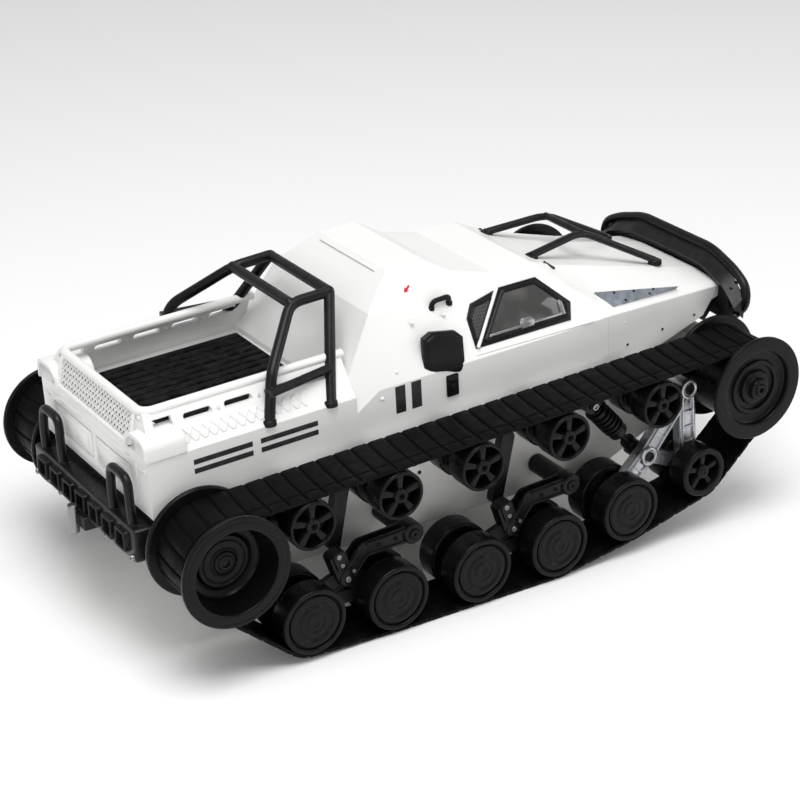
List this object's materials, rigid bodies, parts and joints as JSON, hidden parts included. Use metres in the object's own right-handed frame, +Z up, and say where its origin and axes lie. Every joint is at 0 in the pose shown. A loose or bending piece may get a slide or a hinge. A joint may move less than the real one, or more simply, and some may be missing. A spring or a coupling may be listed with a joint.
{
  "type": "tracked tank chassis",
  "caption": "Radio-control tracked vehicle chassis with sprung bogies, twin rubber tracks, a cab shell, a cargo bed, roll bars and bumpers.",
  "frame": {"origin": "centre of the bounding box in X and Y, on the ground under the tracks", "axes": "+X points forward, +Y to the left, +Z up"},
  "size_m": [0.4273, 0.2412, 0.1828],
  "materials": {
    "shell_white": "white moulded plastic with a soft gloss",
    "tub_grey": "light warm grey moulded hull, satin",
    "track_rubber": "black moulded rubber",
    "wheel_black": "black moulded plastic, glossy discs",
    "frame_black": "black moulded plastic, satin",
    "arm_black": "black coated casting",
    "cast_silver": "bare cast alloy",
    "steel_axle": "turned steel",
    "window_tint": "smoke tinted clear plastic",
    "bed_rubber": "black ribbed mat",
    "pinion_brass": "machined brass",
    "gear_nylon": "natural nylon gear on a steel shaft",
    "motor_can": "plated motor can",
    "electronics": "wrapped battery and circuit board"
  },
  "bodies": {
    "hull": {"chassis_tub": "tub_grey", "hull_studs": "arm_black", "body_shell": "shell_white", "bed_mat": "bed_rubber", "cab_windows": "window_tint", "side_covers": "frame_black", "roll_cage": "frame_black", "hood_guard": "frame_black", "front_bumper": "frame_black", "rear_bumper": "frame_black", "battery_door": "tub_grey", "electronics": "electronics", "drive_motors": "motor_can", "track_left": "track_rubber", "track_right": "track_rubber"},
    "drive_left": {"sprocket_left": "wheel_black", "drive_gear_left": "gear_nylon"},
    "pinion_left": {"motor_pinion_left": "pinion_brass"},
    "idler_left": {"idler_left": "wheel_black"},
    "roller_left_1": {"return_roller_left_1": "wheel_black"},
    "roller_left_2": {"return_roller_left_2": "wheel_black"},
    "roller_left_3": {"return_roller_left_3": "wheel_black"},
    "roller_left_4": {"return_roller_left_4": "wheel_black"},
    "roller_left_5": {"return_roller_left_5": "wheel_black"},
    "arm_left_1": {"trailing_arm_left_1": "arm_black"},
    "beam_left_1": {"bogie_beam_left_1": "arm_black"},
    "wheel_left_1": {"road_wheel_left_1": "wheel_black"},
    "wheel_left_2": {"road_wheel_left_2": "wheel_black"},
    "arm_left_2": {"trailing_arm_left_2": "arm_black"},
    "beam_left_2": {"bogie_beam_left_2": "arm_black"},
    "wheel_left_3": {"road_wheel_left_3": "wheel_black"},
    "wheel_left_4": {"road_wheel_left_4": "wheel_black"},
    "rocker_left": {"front_rocker_left": "cast_silver"},
    "wheel_left_5": {"road_wheel_left_5": "wheel_black"},
    "small_wheel_left": {"front_wheel_left": "wheel_black"},
    "damper_left": {"damper_body_left": "arm_black"},
    "rod_left": {"damper_rod_left": "steel_axle"},
    "drive_right": {"sprocket_right": "wheel_black", "drive_gear_right": "gear_nylon"},
    "pinion_right": {"motor_pinion_right": "pinion_brass"},
    "idler_right": {"idler_right": "wheel_black"},
    "roller_right_1": {"return_roller_right_1": "wheel_black"},
    "roller_right_2": {"return_roller_right_2": "wheel_black"},
    "roller_right_3": {"return_roller_right_3": "wheel_black"},
    "roller_right_4": {"return_roller_right_4": "wheel_black"},
    "roller_right_5": {"return_roller_right_5": "wheel_black"},
    "arm_right_1": {"trailing_arm_right_1": "arm_black"},
    "beam_right_1": {"bogie_beam_right_1": "arm_black"},
    "wheel_right_1": {"road_wheel_right_1": "wheel_black"},
    "wheel_right_2": {"road_wheel_right_2": "wheel_black"},
    "arm_right_2": {"trailing_arm_right_2": "arm_black"},
    "beam_right_2": {"bogie_beam_right_2": "arm_black"},
    "wheel_right_3": {"road_wheel_right_3": "wheel_black"},
    "wheel_right_4": {"road_wheel_right_4": "wheel_black"},
    "rocker_right": {"front_rocker_right": "cast_silver"},
    "wheel_right_5": {"road_wheel_right_5": "wheel_black"},
    "small_wheel_right": {"front_wheel_right": "wheel_black"},
    "damper_right": {"damper_body_right": "arm_black"},
    "rod_right": {"damper_rod_right": "steel_axle"},
    "switch": {"power_switch": "frame_black"}
  },
  "joints": [
    {"name": "sprocket_spin_left", "type": "hinge", "parent": "hull", "child": "drive_left", "pos_m": [-0.17, 0.095, 0.0698], "axis": [0, 1, 0], "continuous": true},
    {"name": "pinion_spin_left", "type": "hinge", "parent": "hull", "child": "pinion_left", "pos_m": [-0.152, 0.051, 0.0698], "axis": [0, 1, 0], "continuous": true},
    {"name": "idler_spin_left", "type": "hinge", "parent": "hull", "child": "idler_left", "pos_m": [0.18, 0.095, 0.0868], "axis": [0, 1, 0], "continuous": true},
    {"name": "roller_spin_left_1", "type": "hinge", "parent": "hull", "child": "roller_left_1", "pos_m": [-0.1228, 0.095, 0.0825], "axis": [0, 1, 0], "continuous": true},
    {"name": "roller_spin_left_2", "type": "hinge", "parent": "hull", "child": "roller_left_2", "pos_m": [-0.0681, 0.095, 0.0849], "axis": [0, 1, 0], "continuous": true},
    {"name": "roller_spin_left_3", "type": "hinge", "parent": "hull", "child": "roller_left_3", "pos_m": [-0.0144, 0.095, 0.0872], "axis": [0, 1, 0], "continuous": true},
    {"name": "roller_spin_left_4", "type": "hinge", "parent": "hull", "child": "roller_left_4", "pos_m": [0.0441, 0.095, 0.0898], "axis": [0, 1, 0], "continuous": true},
    {"name": "roller_spin_left_5", "type": "hinge", "parent": "hull", "child": "roller_left_5", "pos_m": [0.1107, 0.095, 0.0927], "axis": [0, 1, 0], "continuous": true},
    {"name": "arm_swing_left_1", "type": "hinge", "parent": "hull", "child": "arm_left_1", "pos_m": [-0.052, 0.085, 0.0514], "axis": [0, 1, 0], "range_deg": [0, 8], "stiffness_Nm_per_rad": 2, "springref_deg": -5.73},
    {"name": "bogie_rock_left_1", "type": "hinge", "parent": "arm_left_1", "child": "beam_left_1", "pos_m": [-0.095, 0.0967, 0.036], "axis": [0, 1, 0], "range_deg": [-4, 4], "deforming": ["track_left"]},
    {"name": "wheel_spin_left_1", "type": "hinge", "parent": "beam_left_1", "child": "wheel_left_1", "pos_m": [-0.1236, 0.095, 0.0244], "axis": [0, 1, 0], "continuous": true},
    {"name": "wheel_spin_left_2", "type": "hinge", "parent": "beam_left_1", "child": "wheel_left_2", "pos_m": [-0.0703, 0.095, 0.0224], "axis": [0, 1, 0], "continuous": true},
    {"name": "arm_swing_left_2", "type": "hinge", "parent": "hull", "child": "arm_left_2", "pos_m": [0.0557, 0.085, 0.0512], "axis": [0, 1, 0], "range_deg": [0, 8], "stiffness_Nm_per_rad": 2, "springref_deg": -5.73},
    {"name": "bogie_rock_left_2", "type": "hinge", "parent": "arm_left_2", "child": "beam_left_2", "pos_m": [0.0155, 0.0967, 0.0346], "axis": [0, 1, 0], "range_deg": [-4, 4], "deforming": ["track_left"]},
    {"name": "wheel_spin_left_3", "type": "hinge", "parent": "beam_left_2", "child": "wheel_left_3", "pos_m": [-0.0148, 0.095, 0.0224], "axis": [0, 1, 0], "continuous": true},
    {"name": "wheel_spin_left_4", "type": "hinge", "parent": "beam_left_2", "child": "wheel_left_4", "pos_m": [0.0387, 0.095, 0.0224], "axis": [0, 1, 0], "continuous": true},
    {"name": "rocker_swing_left", "type": "hinge", "parent": "hull", "child": "rocker_left", "pos_m": [0.1405, 0.085, 0.0905], "axis": [0, 1, 0], "range_deg": [0, 5], "stiffness_Nm_per_rad": 3, "springref_deg": -5.73},
    {"name": "wheel_spin_left_5", "type": "hinge", "parent": "rocker_left", "child": "wheel_left_5", "pos_m": [0.0897, 0.095, 0.0307], "axis": [0, 1, 0], "continuous": true},
    {"name": "small_wheel_spin_left", "type": "hinge", "parent": "rocker_left", "child": "small_wheel_left", "pos_m": [0.1434, 0.095, 0.0406], "axis": [0, 1, 0], "continuous": true},
    {"name": "damper_swing_left", "type": "hinge", "parent": "hull", "child": "damper_left", "pos_m": [0.078, 0.0875, 0.092], "axis": [0, 1, 0], "range_deg": [0, 0.6696]},
    {"name": "damper_stroke_left", "type": "slide", "parent": "damper_left", "child": "rod_left", "axis": [0.6722, 0, -0.7404], "range_m": [-0.00405, 0]},
    {"name": "sprocket_spin_right", "type": "hinge", "parent": "hull", "child": "drive_right", "pos_m": [-0.17, -0.095, 0.0698], "axis": [0, 1, 0], "continuous": true},
    {"name": "pinion_spin_right", "type": "hinge", "parent": "hull", "child": "pinion_right", "pos_m": [-0.152, -0.051, 0.0698], "axis": [0, 1, 0], "continuous": true},
    {"name": "idler_spin_right", "type": "hinge", "parent": "hull", "child": "idler_right", "pos_m": [0.18, -0.095, 0.0868], "axis": [0, 1, 0], "continuous": true},
    {"name": "roller_spin_right_1", "type": "hinge", "parent": "hull", "child": "roller_right_1", "pos_m": [-0.1228, -0.095, 0.0825], "axis": [0, 1, 0], "continuous": true},
    {"name": "roller_spin_right_2", "type": "hinge", "parent": "hull", "child": "roller_right_2", "pos_m": [-0.0681, -0.095, 0.0849], "axis": [0, 1, 0], "continuous": true},
    {"name": "roller_spin_right_3", "type": "hinge", "parent": "hull", "child": "roller_right_3", "pos_m": [-0.0144, -0.095, 0.0872], "axis": [0, 1, 0], "continuous": true},
    {"name": "roller_spin_right_4", "type": "hinge", "parent": "hull", "child": "roller_right_4", "pos_m": [0.0441, -0.095, 0.0898], "axis": [0, 1, 0], "continuous": true},
    {"name": "roller_spin_right_5", "type": "hinge", "parent": "hull", "child": "roller_right_5", "pos_m": [0.1107, -0.095, 0.0927], "axis": [0, 1, 0], "continuous": true},
    {"name": "arm_swing_right_1", "type": "hinge", "parent": "hull", "child": "arm_right_1", "pos_m": [-0.052, -0.085, 0.0514], "axis": [0, 1, 0], "range_deg": [0, 8], "stiffness_Nm_per_rad": 2, "springref_deg": -5.73},
    {"name": "bogie_rock_right_1", "type": "hinge", "parent": "arm_right_1", "child": "beam_right_1", "pos_m": [-0.095, -0.0967, 0.036], "axis": [0, 1, 0], "range_deg": [-4, 4], "deforming": ["track_right"]},
    {"name": "wheel_spin_right_1", "type": "hinge", "parent": "beam_right_1", "child": "wheel_right_1", "pos_m": [-0.1236, -0.095, 0.0244], "axis": [0, 1, 0], "continuous": true},
    {"name": "wheel_spin_right_2", "type": "hinge", "parent": "beam_right_1", "child": "wheel_right_2", "pos_m": [-0.0703, -0.095, 0.0224], "axis": [0, 1, 0], "continuous": true},
    {"name": "arm_swing_right_2", "type": "hinge", "parent": "hull", "child": "arm_right_2", "pos_m": [0.0557, -0.085, 0.0512], "axis": [0, 1, 0], "range_deg": [0, 8], "stiffness_Nm_per_rad": 2, "springref_deg": -5.73},
    {"name": "bogie_rock_right_2", "type": "hinge", "parent": "arm_right_2", "child": "beam_right_2", "pos_m": [0.0155, -0.0967, 0.0346], "axis": [0, 1, 0], "range_deg": [-4, 4], "deforming": ["track_right"]},
    {"name": "wheel_spin_right_3", "type": "hinge", "parent": "beam_right_2", "child": "wheel_right_3", "pos_m": [-0.0148, -0.095, 0.0224], "axis": [0, 1, 0], "continuous": true},
    {"name": "wheel_spin_right_4", "type": "hinge", "parent": "beam_right_2", "child": "wheel_right_4", "pos_m": [0.0387, -0.095, 0.0224], "axis": [0, 1, 0], "continuous": true},
    {"name": "rocker_swing_right", "type": "hinge", "parent": "hull", "child": "rocker_right", "pos_m": [0.1405, -0.085, 0.0905], "axis": [0, 1, 0], "range_deg": [0, 5], "stiffness_Nm_per_rad": 3, "springref_deg": -5.73},
    {"name": "wheel_spin_right_5", "type": "hinge", "parent": "rocker_right", "child": "wheel_right_5", "pos_m": [0.0897, -0.095, 0.0307], "axis": [0, 1, 0], "continuous": true},
    {"name": "small_wheel_spin_right", "type": "hinge", "parent": "rocker_right", "child": "small_wheel_right", "pos_m": [0.1434, -0.095, 0.0406], "axis": [0, 1, 0], "continuous": true},
    {"name": "damper_swing_right", "type": "hinge", "parent": "hull", "child": "damper_right", "pos_m": [0.078, -0.0875, 0.092], "axis": [0, 1, 0], "range_deg": [0, 0.6696]},
    {"name": "damper_stroke_right", "type": "slide", "parent": "damper_right", "child": "rod_right", "axis": [0.6722, 0, -0.7404], "range_m": [-0.00405, 0]},
    {"name": "switch_slide", "type": "slide", "parent": "hull", "child": "switch", "axis": [1, 0, 0], "range_m": [0, 0.003]}
  ],
  "couplings": [
    {"joint": "pinion_spin_left", "follows": "sprocket_spin_left", "ratio": -3},
    {"joint": "idler_spin_left", "follows": "sprocket_spin_left", "ratio": 1},
    {"joint": "roller_spin_left_1", "follows": "sprocket_spin_left", "ratio": 1.7042},
    {"joint": "roller_spin_left_2", "follows": "sprocket_spin_left", "ratio": 1.7042},
    {"joint": "roller_spin_left_3", "follows": "sprocket_spin_left", "ratio": 1.7042},
    {"joint": "roller_spin_left_4", "follows": "sprocket_spin_left", "ratio": 1.7042},
    {"joint": "roller_spin_left_5", "follows": "sprocket_spin_left", "ratio": 1.7042},
    {"joint": "wheel_spin_left_1", "follows": "sprocket_spin_left", "ratio": 1.2474},
    {"joint": "wheel_spin_left_2", "follows": "sprocket_spin_left", "ratio": 1.2474},
    {"joint": "wheel_spin_left_3", "follows": "sprocket_spin_left", "ratio": 1.2474},
    {"joint": "wheel_spin_left_4", "follows": "sprocket_spin_left", "ratio": 1.2474},
    {"joint": "wheel_spin_left_5", "follows": "sprocket_spin_left", "ratio": 1.2474},
    {"joint": "small_wheel_spin_left", "follows": "sprocket_spin_left", "ratio": 1.5714},
    {"joint": "damper_swing_left", "follows": "rocker_swing_left", "ratio": 0.1313},
    {"joint": "damper_stroke_left", "follows": "rocker_swing_left", "m_per_rad": -0.04553},
    {"joint": "pinion_spin_right", "follows": "sprocket_spin_right", "ratio": -3},
    {"joint": "idler_spin_right", "follows": "sprocket_spin_right", "ratio": 1},
    {"joint": "roller_spin_right_1", "follows": "sprocket_spin_right", "ratio": 1.7042},
    {"joint": "roller_spin_right_2", "follows": "sprocket_spin_right", "ratio": 1.7042},
    {"joint": "roller_spin_right_3", "follows": "sprocket_spin_right", "ratio": 1.7042},
    {"joint": "roller_spin_right_4", "follows": "sprocket_spin_right", "ratio": 1.7042},
    {"joint": "roller_spin_right_5", "follows": "sprocket_spin_right", "ratio": 1.7042},
    {"joint": "wheel_spin_right_1", "follows": "sprocket_spin_right", "ratio": 1.2474},
    {"joint": "wheel_spin_right_2", "follows": "sprocket_spin_right", "ratio": 1.2474},
    {"joint": "wheel_spin_right_3", "follows": "sprocket_spin_right", "ratio": 1.2474},
    {"joint": "wheel_spin_right_4", "follows": "sprocket_spin_right", "ratio": 1.2474},
    {"joint": "wheel_spin_right_5", "follows": "sprocket_spin_right", "ratio": 1.2474},
    {"joint": "small_wheel_spin_right", "follows": "sprocket_spin_right", "ratio": 1.5714},
    {"joint": "damper_swing_right", "follows": "rocker_swing_right", "ratio": 0.1313},
    {"joint": "damper_stroke_right", "follows": "rocker_swing_right", "m_per_rad": -0.04553}
  ]
}
